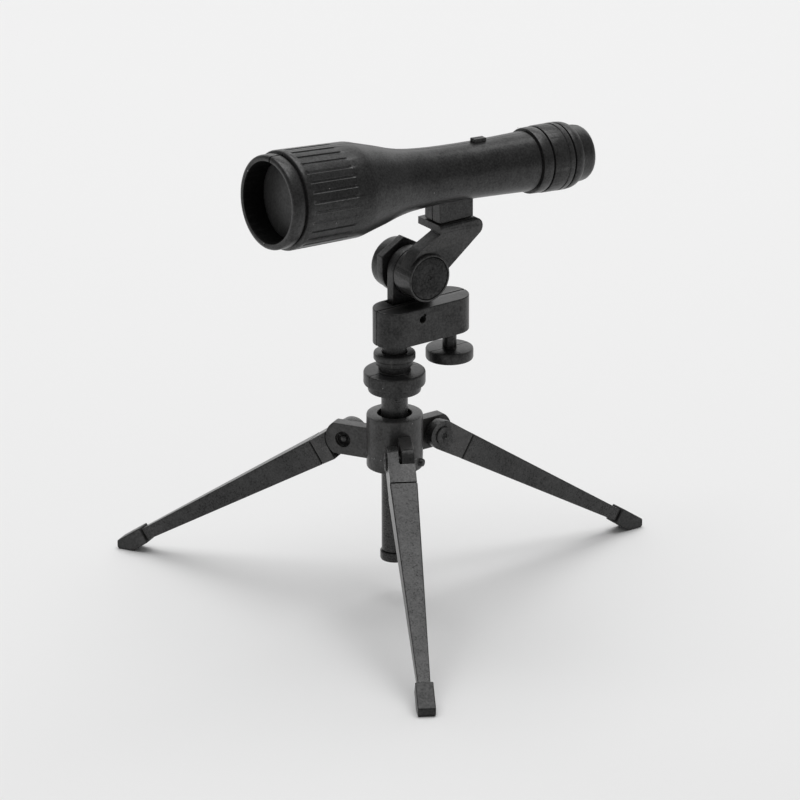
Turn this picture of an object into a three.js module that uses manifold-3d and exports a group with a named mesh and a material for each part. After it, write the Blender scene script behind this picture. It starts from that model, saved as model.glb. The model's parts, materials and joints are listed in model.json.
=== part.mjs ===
// Miniature telescope on a folding tripod, in millimetres.
// The working frame has +Z up, the floor at z = 0 and the column axis at x = y = 0.
// The telescope points along -Y and its eyepiece is towards +Y.
// Seen by someone at the eyepiece, the left side is +X and the right side is -X.
import * as THREE from 'three';
import { mergeVertices } from 'three/addons/utils/BufferGeometryUtils.js';
import Module from 'manifold-3d';

const wasm = await Module();
wasm.setup();

// ---- driving dimensions -------------------------------------------------

const FIT = 0.1;             // gap between pieces that rest on or turn in each other
const SEAM = 0.05;           // each moulded half stops this far from the parting plane
const ROUND = 32;            // sides of a turned piece
const SMALL_ROUND = 16;      // sides of a pin or a small bore

// hub and column in the middle of the tripod
const HUB_RADIUS = 4.55;
const HUB_BOTTOM = 22.4;
const HUB_TOP = 31.5;
const COLUMN_RADIUS = 2.15;
const COLUMN_BOTTOM = 6.2;
const PEG_ANGLE = 30;        // friction peg pressed into the hub wall, rubbing on the column
const PEG_HEIGHT = 23.6;
const FRICTION_PEG_RADIUS = 0.65;
const PEG_REACH = 5.2;
const END_CAP_RADIUS = 2.4;
const END_CAP_TOP = 7.9;
const SPIGOT_RADIUS = 1.2;
const SPIGOT_LENGTH = 1.2;

// leg hinges; the hub lug is on the left of each leg and the leg's own cheek on the right,
// looking outwards from the column, so that the two make a half-lap joint
const LEG_ANGLES = { rear_leg: 90, front_left_leg: -30, front_right_leg: 210 };
const PIVOT_REACH = 8.2;
const PIVOT_HEIGHT = 26.3;
const LUG_HALF_HEIGHT = 2.65;
const LUG_END_RADIUS = 3.15;
const LUG_INNER = 0.05;
const LUG_OUTER = 2.15;
const CHEEK_RADIUS = 2.45;
const CHEEK_INNER = 0.4;
const CHEEK_OUTER = 2.15;
const NOTCH_RADIUS = 3.3;
const PIN_RADIUS = 1.1;
const PIN_HEAD_RADIUS = 1.5;
const PIN_HEAD_HEIGHT = 0.2;
const PIN_TIP_RADIUS = 0.68;
const PIN_SHOULDER = 0.3;    // the full shaft stops this far inside the lug's outer face

// legs and feet
const LEG_SLOPE = 32.4;      // degrees below level when the tripod stands open
const KNUCKLE_END = 5.6;     // from the pivot to the joint line with the beam
const KNUCKLE_DEPTH = 4.4;
const BEAM_END = 43.2;
const BEAM_ROOT_SIZE = 4.46;
const BEAM_TIP_SIZE = 2.05;
const TENON_SIZE = 1.4;
const TENON_LENGTH = 1.6;
const FOOT_REACH = 49.6;
const FOOT_WIDTH = 2.88;
const FOOT_DEPTH = 2.75;
const SOLE_START = 46.7;
const SOLE_END = 49.3;
const TOE_HEIGHT = 1.4;

// head plate on the column, and the peg above it that the head swivels on
const PLATE_RADIUS = 5.0;
const PLATE_TIER_RADIUS = 4.3;
const PLATE_BOTTOM = 35.4;
const PLATE_TIER_TOP = 36.65;
const PLATE_TOP = 38.85;
const NECK_RADIUS = 2.58;
const NECK_TOP = 39.8;
const PEG_RADIUS = 2.0;
const PAN_RING_STEP_RADIUS = 3.0;
const PAN_RING_STEP_TOP = 40.85;
const PAN_RING_RADIUS = 3.38;
const PAN_RING_TOP = 42.05;

// swivel block, moulded in two halves, with the pan knob hanging under its rear end
const BLOCK_HALF_WIDTH = 3.49;
const BLOCK_LENGTH = 10.5;   // between the centres of its two round ends
const BLOCK_BOTTOM = 43.65;
const BLOCK_TOP = 49.6;
const COLLAR_BOTTOM = 45.2;  // collars of the peg and the knob shaft, trapped in the halves
const COLLAR_TOP = 46.0;
const COLLAR_RADIUS = 2.6;
const SHAFT_TOP = 46.7;
const KNOB_Y = 10.9;
const KNOB_RADIUS = 3.87;
const KNOB_BOTTOM = 38.5;
const KNOB_TOP = 40.35;
const KNOB_SHAFT_RADIUS = 1.15;
const KNOB_COLLAR_RADIUS = 1.8;
const BLOCK_PIN_RADIUS = 0.7;
const BLOCK_PIN_Y = 3.1;
const BLOCK_PIN_Z = 47.8;
const BLOCK_PIN_LENGTH = 5.0;

// tilt joint: lug of the block, knuckle of the bracket, pin through both, nut on the far side
const TILT_Y = 4.54;
const TILT_Z = 54.42;
const TILT_LUG_RADIUS = 3.87;
const TILT_LUG_OUTER = -2.93;
const TILT_LUG_INNER = -1.2;
const TILT_KNUCKLE_RADIUS = 3.95;
const TILT_KNUCKLE_INNER = -1.05;
const TILT_KNUCKLE_OUTER = 3.4;
const TILT_PIN_RADIUS = 1.3;
const TILT_HEAD_RADIUS = 3.5;
const TILT_HEAD_DEPTH = 1.2;
const NUT_NECK_RADIUS = 2.2;
const NUT_POINT = 5.05;       // the flange is round with a pointed top
const NUT_RADIUS = 4.37;
const NUT_FLANGE_INNER = -3.6;
const NUT_FLANGE_OUTER = -5.05;
const NUT_CAP_RADIUS = 4.2;
const NUT_CAP_OUTER = -7.2;
const TILT_PIN_END = -6.2;

// bracket arm and platform, and the telescope's shoe on it
const ARM_RIGHT = 0.1;
const ARM_THROAT = [[2.4, 58.4], [3.3, 59.25]];   // hollow of the arm above the knuckle, (Y, Z)
const ARM_LEFT = 2.8;        // flush with the left side of the platform
const PLATFORM_RIGHT = -3.3;
const PLATFORM_START = 7.1;
const PLATFORM_END = 15.45;
const PLATFORM_TOP = 62.5;
const PLATFORM_THICKNESS = 1.2;
const SHOE_HALF_WIDTH = 2.05;
const SHOE_START = 7.5;
const SHOE_END = 14.1;
const SHOE_TOP = 67.2;       // inside the tube wall
const DOWEL_RADIUS = 1.0;
const DOWEL_Y = 10.8;
const DOWEL_BOTTOM = 59.4;
const DOWEL_TOP = 64.6;

// telescope, measured along its own axis from the rim of the objective
const TUBE_LENGTH = 61.6;
const TUBE_RISE = 4.0;       // degrees that the objective end points upwards
const TUBE_FACE_Y = -24.5;
const TUBE_AXIS_Z = 70.7;    // height of the axis above the column
const OPENING_RADIUS = 6.4;
const OBJECTIVE_SEAT = 3.9;
const OBJECTIVE_RADIUS = 6.8;
const EYE_OPENING_RADIUS = 3.0;
const EYEPIECE_SEAT = 59.8;
const EYEPIECE_RADIUS = 3.4;
const DISC_THICKNESS = 1.1;
const NUB_START = 39.6;
const NUB_LENGTH = 2.4;
const NUB_HEIGHT = 0.6;

const DEG = Math.PI / 180;

// ---- making and cutting solids ------------------------------------------

function toSolid(geometry) {
  const bare = geometry.index ? geometry.toNonIndexed() : geometry.clone();
  bare.deleteAttribute('normal');
  bare.deleteAttribute('uv');
  const merged = mergeVertices(bare, 1e-4);
  return new wasm.Manifold(new wasm.Mesh({
    numProp: 3,
    vertProperties: new Float32Array(merged.attributes.position.array),
    triVerts: new Uint32Array(merged.index.array),
  }));
}

function toGeometry(solid) {
  const mesh = solid.getMesh();
  const geometry = new THREE.BufferGeometry();
  geometry.setAttribute('position', new THREE.BufferAttribute(mesh.vertProperties, 3));
  geometry.setIndex(new THREE.BufferAttribute(mesh.triVerts, 1));
  geometry.computeVertexNormals();
  return geometry;
}

function join(first, ...others) {
  let result = toSolid(first);
  for (const other of others) result = result.add(toSolid(other));
  return toGeometry(result);
}

function cut(body, ...tools) {
  let result = toSolid(body);
  for (const tool of tools) result = result.subtract(toSolid(tool));
  return toGeometry(result);
}

function keep(body, region) {
  return toGeometry(toSolid(body).intersect(toSolid(region)));
}

// turned piece on the Z axis; the profile lists [radius, height] from bottom to top
function turned(profile, sides = ROUND) {
  const points = profile.map(([radius, height]) => new THREE.Vector2(radius, height));
  return new THREE.LatheGeometry(points, sides).rotateX(Math.PI / 2);
}

// plain cylinder on the Z axis between two heights
function rod(radius, bottom, top, sides = SMALL_ROUND) {
  return new THREE.CylinderGeometry(radius, radius, top - bottom, sides)
    .rotateX(Math.PI / 2)
    .translate(0, 0, (bottom + top) / 2);
}

function box(x0, x1, y0, y1, z0, z1) {
  return new THREE.BoxGeometry(x1 - x0, y1 - y0, z1 - z0)
    .translate((x0 + x1) / 2, (y0 + y1) / 2, (z0 + z1) / 2);
}

function outline(points) {
  return new THREE.Shape(points.map(([a, b]) => new THREE.Vector2(a, b)));
}

// points along part of a circle, from one angle to another in degrees
function arc(a, b, radius, from, to, steps = 12) {
  return Array.from({ length: steps + 1 }, (_, i) => {
    const angle = (from + (to - from) * (i / steps)) * DEG;
    return [a + radius * Math.cos(angle), b + radius * Math.sin(angle)];
  });
}

// an outline in the Y-Z plane, made thick from x0 to x1
function slab(shape, x0, x1) {
  return new THREE.ExtrudeGeometry(shape, { depth: x1 - x0, bevelEnabled: false })
    .applyMatrix4(new THREE.Matrix4().set(0, 0, 1, x0, 1, 0, 0, 0, 0, 1, 0, 0, 0, 0, 0, 1));
}

// an outline in the X-Y plane, made thick from z0 to z1
function plate(shape, z0, z1) {
  return new THREE.ExtrudeGeometry(shape, { depth: z1 - z0, bevelEnabled: false })
    .translate(0, 0, z0);
}

// lays a piece made along +Z along +X
function alongX(geometry) {
  return geometry.rotateY(Math.PI / 2);
}

const plastics = {
  satin: { color: 0x2a2b2d, roughness: 0.45, metalness: 0 },
  matte: { color: 0x1f2022, roughness: 0.75, metalness: 0 },
};

function piece(name, geometry, finish = 'satin') {
  const mesh = new THREE.Mesh(geometry, new THREE.MeshStandardMaterial(plastics[finish]));
  mesh.name = name;
  return mesh;
}

// ---- hub and column -----------------------------------------------------

function hub() {
  const edge = 0.3;
  const barrel = turned([
    [0, HUB_BOTTOM], [HUB_RADIUS - edge, HUB_BOTTOM], [HUB_RADIUS, HUB_BOTTOM + edge],
    [HUB_RADIUS, HUB_TOP - edge], [HUB_RADIUS - edge, HUB_TOP], [0, HUB_TOP],
  ]);
  const lugCorner = Math.asin(LUG_HALF_HEIGHT / LUG_END_RADIUS) / DEG;
  const lugOutline = outline([
    [0.5, PIVOT_HEIGHT - LUG_HALF_HEIGHT],
    ...arc(PIVOT_REACH, PIVOT_HEIGHT, LUG_END_RADIUS, -lugCorner, lugCorner),
    [0.5, PIVOT_HEIGHT + LUG_HALF_HEIGHT],
  ]);
  const turns = Object.values(LEG_ANGLES).map((angle) => (angle - 90) * DEG);
  const lugs = turns.map((turn) => slab(lugOutline, -LUG_OUTER, -LUG_INNER).rotateZ(turn));
  const holes = turns.map((turn) =>
    alongX(rod(PIN_RADIUS + FIT, -LUG_OUTER - 1, 1))
      .translate(0, PIVOT_REACH, PIVOT_HEIGHT)
      .rotateZ(turn));
  const bore = rod(COLUMN_RADIUS + FIT, HUB_BOTTOM - 1, HUB_TOP + 1, ROUND);
  const pegHole = frictionPegAt(FIT, HUB_RADIUS + 1);
  return piece('hub', cut(join(barrel, ...lugs), bore, pegHole, ...holes));
}

function frictionPegAt(grow, reach) {
  return alongX(rod(FRICTION_PEG_RADIUS + grow, COLUMN_RADIUS + FIT - grow, reach))
    .translate(0, 0, PEG_HEIGHT)
    .rotateZ(PEG_ANGLE * DEG);
}

function columnPeg() {
  return piece('column_peg', frictionPegAt(0, PEG_REACH));
}

function column() {
  return piece('column', turned([
    [0, END_CAP_TOP - SPIGOT_LENGTH], [SPIGOT_RADIUS, END_CAP_TOP - SPIGOT_LENGTH],
    [SPIGOT_RADIUS, END_CAP_TOP], [COLUMN_RADIUS, END_CAP_TOP],
    [COLUMN_RADIUS, PLATE_BOTTOM - FIT], [SPIGOT_RADIUS, PLATE_BOTTOM - FIT],
    [SPIGOT_RADIUS, PLATE_BOTTOM + SPIGOT_LENGTH], [0, PLATE_BOTTOM + SPIGOT_LENGTH],
  ]));
}

function columnEndCap() {
  const edge = 0.3;
  const socket = SPIGOT_RADIUS + FIT;
  return piece('column_end_cap', turned([
    [0, COLUMN_BOTTOM], [END_CAP_RADIUS - edge, COLUMN_BOTTOM],
    [END_CAP_RADIUS, COLUMN_BOTTOM + edge], [END_CAP_RADIUS, END_CAP_TOP - FIT],
    [socket, END_CAP_TOP - FIT], [socket, END_CAP_TOP - SPIGOT_LENGTH - FIT],
    [0, END_CAP_TOP - SPIGOT_LENGTH - FIT],
  ]));
}

// the plate, its neck and the swivel peg are one turned piece with a socket for the column
function headPlate() {
  const edge = 0.25;
  const socket = SPIGOT_RADIUS + FIT;
  const socketTop = PLATE_BOTTOM + SPIGOT_LENGTH + FIT;
  return piece('head_plate', turned([
    [0, socketTop], [socket, socketTop], [socket, PLATE_BOTTOM],
    [PLATE_TIER_RADIUS - edge, PLATE_BOTTOM], [PLATE_TIER_RADIUS, PLATE_BOTTOM + edge],
    [PLATE_TIER_RADIUS, PLATE_TIER_TOP], [PLATE_RADIUS, PLATE_TIER_TOP + edge],
    [PLATE_RADIUS, PLATE_TOP - edge], [PLATE_RADIUS - edge, PLATE_TOP],
    [NECK_RADIUS, PLATE_TOP], [NECK_RADIUS, NECK_TOP], [PEG_RADIUS, NECK_TOP],
    [PEG_RADIUS, COLLAR_BOTTOM], [COLLAR_RADIUS, COLLAR_BOTTOM],
    [COLLAR_RADIUS, COLLAR_TOP], [PEG_RADIUS, COLLAR_TOP],
    [PEG_RADIUS, SHAFT_TOP], [0, SHAFT_TOP],
  ]));
}

function panRing() {
  const edge = 0.2;
  const bore = PEG_RADIUS + FIT;
  return piece('pan_ring', turned([
    [bore, NECK_TOP + FIT], [PAN_RING_STEP_RADIUS, NECK_TOP + FIT],
    [PAN_RING_STEP_RADIUS, PAN_RING_STEP_TOP], [PAN_RING_RADIUS, PAN_RING_STEP_TOP],
    [PAN_RING_RADIUS, PAN_RING_TOP - edge],
    [PAN_RING_RADIUS - edge, PAN_RING_TOP], [bore, PAN_RING_TOP], [bore, NECK_TOP + FIT],
  ]));
}

// ---- legs ---------------------------------------------------------------

// in a leg's own frame the pivot is the origin, +Y runs down the leg and +Z is its upper side,
// so the leg's left is -X and its cheek is on +X
function legKnuckle(name) {
  const body = slab(outline([
    [KNUCKLE_END, KNUCKLE_DEPTH / 2],
    ...arc(0, 0, CHEEK_RADIUS, 88, 272, 20),
    [KNUCKLE_END, -KNUCKLE_DEPTH / 2],
  ]), -CHEEK_OUTER, CHEEK_OUTER);
  const notch = outline([
    [NOTCH_RADIUS, -4], ...arc(0, 0, NOTCH_RADIUS, 0, 85, 8), [0, 4], [-4, 4], [-4, -4],
  ]);
  const hole = alongX(rod(PIN_RADIUS + FIT, 0, 4));
  const mortise = box(-TENON_SIZE / 2 - FIT, TENON_SIZE / 2 + FIT, KNUCKLE_END - TENON_LENGTH - FIT,
    KNUCKLE_END + 1, -TENON_SIZE / 2 - FIT, TENON_SIZE / 2 + FIT);
  return piece(name, cut(body, slab(notch, -4, CHEEK_INNER), hole, mortise));
}

// four-sided taper along +Y between two square ends
function squareTaper(rootSize, tipSize, start, end) {
  const toCorner = Math.SQRT1_2;
  return new THREE.CylinderGeometry(tipSize * toCorner, rootSize * toCorner, end - start, 4)
    .rotateY(45 * DEG)
    .translate(0, (start + end) / 2, 0);
}

function legBeam(name) {
  const tenon = (y0, y1) =>
    box(-TENON_SIZE / 2, TENON_SIZE / 2, y0, y1, -TENON_SIZE / 2, TENON_SIZE / 2);
  const start = KNUCKLE_END + FIT;
  return piece(name, join(
    squareTaper(BEAM_ROOT_SIZE, BEAM_TIP_SIZE, start, BEAM_END),
    tenon(start - TENON_LENGTH, start + 1),
    tenon(BEAM_END - 1, BEAM_END + TENON_LENGTH),
  ));
}

// the foot's outline is drawn upright in the plane of the leg, then laid back into its frame
function legFoot(name) {
  const slope = LEG_SLOPE * DEG;
  const along = [Math.cos(slope), -Math.sin(slope)];
  const up = [Math.sin(slope), Math.cos(slope)];
  const backAt = (offset) => [
    PIVOT_REACH + (BEAM_END + FIT) * along[0] + offset * up[0],
    PIVOT_HEIGHT + (BEAM_END + FIT) * along[1] + offset * up[1],
  ];
  const backTop = backAt(FOOT_DEPTH / 2);
  const backBottom = backAt(-FOOT_DEPTH / 2);
  const profile = outline([
    backTop, backBottom, [SOLE_START, 0], [SOLE_END, 0],
    [FOOT_REACH, (FOOT_REACH - SOLE_END)], [FOOT_REACH, TOE_HEIGHT],
  ]);
  const body = slab(profile, -FOOT_WIDTH / 2, FOOT_WIDTH / 2)
    .translate(0, -PIVOT_REACH, -PIVOT_HEIGHT)
    .rotateX(slope);
  const half = TENON_SIZE / 2 + FIT;
  const mortise = box(-half, half, BEAM_END - 1, BEAM_END + TENON_LENGTH + FIT, -half, half);
  return piece(name, cut(body, mortise));
}

function legPin(name) {
  const headTop = CHEEK_OUTER + FIT + PIN_HEAD_HEIGHT;
  const shoulder = -LUG_OUTER + PIN_SHOULDER;
  return piece(name, alongX(turned([
    [0, -LUG_OUTER], [PIN_TIP_RADIUS, -LUG_OUTER], [PIN_TIP_RADIUS, shoulder],
    [PIN_RADIUS, shoulder],
    [PIN_RADIUS, CHEEK_OUTER + FIT], [PIN_HEAD_RADIUS, CHEEK_OUTER + FIT],
    [PIN_HEAD_RADIUS, headTop], [0, headTop],
  ], SMALL_ROUND)));
}

function leg(name, angle) {
  const direction = new THREE.Group();
  direction.rotation.z = (angle - 90) * DEG;
  const pivot = new THREE.Group();
  pivot.position.set(0, PIVOT_REACH, PIVOT_HEIGHT);
  pivot.rotation.x = -LEG_SLOPE * DEG;
  pivot.add(legKnuckle(`${name}_knuckle`), legBeam(`${name}_beam`));
  pivot.add(legFoot(`${name}_foot`), legPin(`${name}_pin`));
  direction.add(pivot);
  return direction;
}

// ---- swivel block -------------------------------------------------------

const LEFT_OF_SEAM = [SEAM, 40];
const RIGHT_OF_SEAM = [-40, -SEAM];

function halfOf(geometry, [x0, x1]) {
  return keep(geometry, box(x0, x1, -60, 60, 0, 120));
}

// peg and knob shaft with their collars, grown by the running gap
function trappedShaft(y, radius, collarRadius) {
  return turned([
    [0, BLOCK_BOTTOM - 1], [radius + FIT, BLOCK_BOTTOM - 1], [radius + FIT, COLLAR_BOTTOM - FIT],
    [collarRadius + FIT, COLLAR_BOTTOM - FIT], [collarRadius + FIT, COLLAR_TOP + FIT],
    [radius + FIT, COLLAR_TOP + FIT], [radius + FIT, SHAFT_TOP + FIT], [0, SHAFT_TOP + FIT],
  ]).translate(0, y, 0);
}

function blockPinAt(grow) {
  const end = BLOCK_PIN_LENGTH / 2 + grow;
  return alongX(rod(BLOCK_PIN_RADIUS + grow, -end, end)).translate(0, BLOCK_PIN_Y, BLOCK_PIN_Z);
}

function blockHalves() {
  const plan = outline([
    ...arc(0, 0, BLOCK_HALF_WIDTH, 180, 360, 16),
    ...arc(0, BLOCK_LENGTH, BLOCK_HALF_WIDTH, 0, 180, 16),
  ]);
  const moulding = cut(
    plate(plan, BLOCK_BOTTOM, BLOCK_TOP),
    trappedShaft(0, PEG_RADIUS, COLLAR_RADIUS),
    trappedShaft(KNOB_Y, KNOB_SHAFT_RADIUS, KNOB_COLLAR_RADIUS),
    blockPinAt(FIT),
    alongX(rod(BLOCK_PIN_RADIUS + FIT, 0, 6)).translate(0, BLOCK_PIN_Y, BLOCK_PIN_Z),
  );
  const lugOutline = outline([
    [TILT_Y + TILT_LUG_RADIUS, BLOCK_TOP - 1],
    ...arc(TILT_Y, TILT_Z, TILT_LUG_RADIUS, 0, 180, 20),
    [TILT_Y - TILT_LUG_RADIUS, BLOCK_TOP - 1],
  ]);
  const lugHole = alongX(rod(TILT_PIN_RADIUS + FIT, -5, 0)).translate(0, TILT_Y, TILT_Z);
  const lug = cut(slab(lugOutline, TILT_LUG_OUTER, TILT_LUG_INNER), lugHole);
  return [
    piece('block_left_half', halfOf(moulding, LEFT_OF_SEAM)),
    piece('block_right_half', join(halfOf(moulding, RIGHT_OF_SEAM), lug)),
  ];
}

function blockPin() {
  return piece('block_pin', blockPinAt(0));
}

function panKnob() {
  const edge = 0.3;
  return piece('pan_knob', turned([
    [0, KNOB_BOTTOM], [KNOB_RADIUS - edge, KNOB_BOTTOM], [KNOB_RADIUS, KNOB_BOTTOM + edge],
    [KNOB_RADIUS, KNOB_TOP - edge], [KNOB_RADIUS - edge, KNOB_TOP], [KNOB_SHAFT_RADIUS, KNOB_TOP],
    [KNOB_SHAFT_RADIUS, COLLAR_BOTTOM], [KNOB_COLLAR_RADIUS, COLLAR_BOTTOM],
    [KNOB_COLLAR_RADIUS, COLLAR_TOP], [KNOB_SHAFT_RADIUS, COLLAR_TOP],
    [KNOB_SHAFT_RADIUS, SHAFT_TOP], [0, SHAFT_TOP],
  ]).translate(0, KNOB_Y, 0));
}

// ---- tilt joint and bracket ---------------------------------------------

function dowelAt(grow) {
  return rod(DOWEL_RADIUS + grow, DOWEL_BOTTOM - grow, DOWEL_TOP + grow).translate(0, DOWEL_Y, 0);
}

function tiltBracket() {
  const knuckle = alongX(rod(TILT_KNUCKLE_RADIUS, TILT_KNUCKLE_INNER, TILT_KNUCKLE_OUTER, ROUND))
    .translate(0, TILT_Y, TILT_Z);
  const nose = 1.5;
  const tuck = 0.02;           // keeps the arm just behind the platform's front
  const arm = slab(outline([
    [TILT_Y + 3.85, TILT_Z + 0.45], ...arc(TILT_Y, TILT_Z, TILT_KNUCKLE_RADIUS, 160, 150, 1),
    ...ARM_THROAT, [PLATFORM_START + tuck, PLATFORM_TOP - PLATFORM_THICKNESS - 0.2],
    [PLATFORM_START + tuck, PLATFORM_TOP - 0.5],
    ...arc(PLATFORM_END - nose, PLATFORM_TOP - nose, nose, 60, -50, 6),
  ].reverse()), ARM_RIGHT, ARM_LEFT);
  const corner = 1.5;
  const platform = plate(outline([
    [PLATFORM_RIGHT, PLATFORM_START], [ARM_LEFT, PLATFORM_START],
    [ARM_LEFT, PLATFORM_END - nose],
    ...arc(PLATFORM_RIGHT + corner, PLATFORM_END - nose - corner * 0.4, corner, 90, 180, 6),
  ]), PLATFORM_TOP - PLATFORM_THICKNESS, PLATFORM_TOP);
  const counterbore = alongX(rod(TILT_HEAD_RADIUS + FIT, TILT_KNUCKLE_OUTER - TILT_HEAD_DEPTH - FIT,
    TILT_KNUCKLE_OUTER + 1, ROUND)).translate(0, TILT_Y, TILT_Z);
  const bore = alongX(rod(TILT_PIN_RADIUS + FIT, -3, 5)).translate(0, TILT_Y, TILT_Z);
  return piece('tilt_bracket', cut(join(knuckle, arm, platform), counterbore, bore, dowelAt(FIT)));
}

function tiltPin() {
  const dimple = 0.3;
  const headBack = TILT_KNUCKLE_OUTER - TILT_HEAD_DEPTH;
  return piece('tilt_pin', alongX(turned([
    [0, TILT_PIN_END], [TILT_PIN_RADIUS, TILT_PIN_END], [TILT_PIN_RADIUS, headBack],
    [TILT_HEAD_RADIUS, headBack], [TILT_HEAD_RADIUS, TILT_KNUCKLE_OUTER],
    [dimple, TILT_KNUCKLE_OUTER - 0.15], [0, TILT_KNUCKLE_OUTER - dimple],
  ])).translate(0, TILT_Y, TILT_Z));
}

function tiltNut() {
  const edge = 0.4;
  const neck = rod(NUT_NECK_RADIUS, NUT_FLANGE_INNER - 0.5, TILT_LUG_OUTER - FIT);
  const cap = turned([
    [0, NUT_CAP_OUTER], [NUT_CAP_RADIUS - edge, NUT_CAP_OUTER], [NUT_CAP_RADIUS, NUT_CAP_OUTER + edge],
    [NUT_CAP_RADIUS, NUT_FLANGE_OUTER + 0.5], [0, NUT_FLANGE_OUTER + 0.5],
  ]);
  const flange = slab(outline([
    [0, NUT_POINT], [-NUT_RADIUS, NUT_POINT / 2], ...arc(0, 0, NUT_RADIUS, 180, 360, 16),
    [NUT_RADIUS, NUT_POINT / 2],
  ]), NUT_FLANGE_OUTER, NUT_FLANGE_INNER);
  const bore = alongX(rod(TILT_PIN_RADIUS + FIT, TILT_PIN_END - FIT, 0));
  return piece('tilt_nut', cut(join(flange, alongX(neck), alongX(cap)), bore)
    .translate(0, TILT_Y, TILT_Z));
}

function shoeDowel() {
  return piece('shoe_dowel', dowelAt(0));
}

// ---- telescope ----------------------------------------------------------

// outside of the tube, [distance from the rim, radius]
const tubeOutside = [
  [0, 7.25], [0.3, 7.55], [2.1, 7.55], [2.2, 7.2], [2.5, 7.2], [2.6, 7.85], [2.9, 7.98], [15.5, 7.68],
  [17.0, 7.33], [18.5, 6.95], [20.8, 6.38], [23.2, 5.7], [25.7, 5.18], [27.9, 4.92], [30.1, 4.76], [34, 4.62],
  [40, 4.6], [50.2, 4.88], [50.3, 4.7], [50.5, 5.38], [52.4, 5.38], [52.5, 5.0], [52.7, 5.49],
  [56.6, 5.49], [56.7, 5.1], [56.9, 5.52], [58.5, 5.52], [58.7, 4.7], [61.0, 4.6], [TUBE_LENGTH, 4.1],
];

// inside of the tube from the eyepiece back to the rim, with a groove that traps each disc
const tubeInside = [
  [TUBE_LENGTH, EYE_OPENING_RADIUS], [EYEPIECE_SEAT + DISC_THICKNESS + FIT, EYE_OPENING_RADIUS],
  [EYEPIECE_SEAT + DISC_THICKNESS + FIT, EYEPIECE_RADIUS + FIT],
  [EYEPIECE_SEAT - FIT, EYEPIECE_RADIUS + FIT], [EYEPIECE_SEAT - FIT, EYE_OPENING_RADIUS],
  [34, 3.3], [27.7, 3.7], [20.6, 5.1], [15.5, 6.3],
  [OBJECTIVE_SEAT + DISC_THICKNESS + FIT, OPENING_RADIUS],
  [OBJECTIVE_SEAT + DISC_THICKNESS + FIT, OBJECTIVE_RADIUS + FIT],
  [OBJECTIVE_SEAT - FIT, OBJECTIVE_RADIUS + FIT], [OBJECTIVE_SEAT - FIT, OPENING_RADIUS],
  [0, OPENING_RADIUS],
];

// brings a piece turned on +Z, with the rim at the origin, to the telescope's place
function onTubeAxis(geometry) {
  return geometry
    .rotateX(-90 * DEG)
    .translate(0, TUBE_FACE_Y, 0)
    .rotateX(-TUBE_RISE * DEG)
    .translate(0, 0, TUBE_AXIS_Z);
}

function tubeHalves() {
  const wall = turned([...tubeOutside, ...tubeInside, tubeOutside[0]].map(([at, radius]) => [radius, at]), 40);
  const nub = box(-0.6, 0.6, -4.6 - NUB_HEIGHT, -4.2, NUB_START, NUB_START + NUB_LENGTH);
  const shoe = box(-SHOE_HALF_WIDTH, SHOE_HALF_WIDTH, SHOE_START, SHOE_END, PLATFORM_TOP + FIT, SHOE_TOP);
  const shell = cut(join(onTubeAxis(join(wall, nub)), shoe), dowelAt(FIT));
  return [
    piece('tube_left_half', halfOf(shell, LEFT_OF_SEAM)),
    piece('tube_right_half', halfOf(shell, RIGHT_OF_SEAM)),
  ];
}

function objectiveDisc() {
  const dome = 0.5;
  const front = OPENING_RADIUS - FIT;
  return piece('objective_disc', onTubeAxis(turned([
    [0, OBJECTIVE_SEAT - dome], [front * 0.6, OBJECTIVE_SEAT - dome * 0.6], [front, OBJECTIVE_SEAT],
    [OBJECTIVE_RADIUS, OBJECTIVE_SEAT], [OBJECTIVE_RADIUS, OBJECTIVE_SEAT + DISC_THICKNESS],
    [0, OBJECTIVE_SEAT + DISC_THICKNESS],
  ])), 'matte');
}

function eyepieceDisc() {
  return piece('eyepiece_disc', onTubeAxis(turned([
    [0, EYEPIECE_SEAT], [EYEPIECE_RADIUS, EYEPIECE_SEAT],
    [EYEPIECE_RADIUS, EYEPIECE_SEAT + DISC_THICKNESS], [0, EYEPIECE_SEAT + DISC_THICKNESS],
  ])), 'matte');
}

// ---- assembly -----------------------------------------------------------

const model = new THREE.Group();
model.add(hub(), columnPeg(), column(), columnEndCap(), headPlate(), panRing());
for (const [name, angle] of Object.entries(LEG_ANGLES)) model.add(leg(name, angle));
model.add(...blockHalves(), blockPin(), panKnob());
model.add(tiltBracket(), tiltPin(), tiltNut(), shoeDowel());
model.add(...tubeHalves(), objectiveDisc(), eyepieceDisc());

// the origin goes to the middle of the object's own box, on the floor
const footCorner = FOOT_REACH * Math.sin(30 * DEG) + (FOOT_WIDTH / 2) * Math.cos(30 * DEG);
model.position.y = -(FOOT_REACH - footCorner) / 2;

export default model;
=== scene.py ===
"""Miniature telescope on a folding tripod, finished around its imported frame.

Every piece is built in millimetres in a handy frame of its own and then put, in metres,
where the frame's boxes and joints say. +Z is up, the objective points along -Y, and +X is
on the left of someone at the eyepiece.
"""
import json
import math
import random

import bmesh
import bpy
from mathutils import Matrix, Vector


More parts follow.
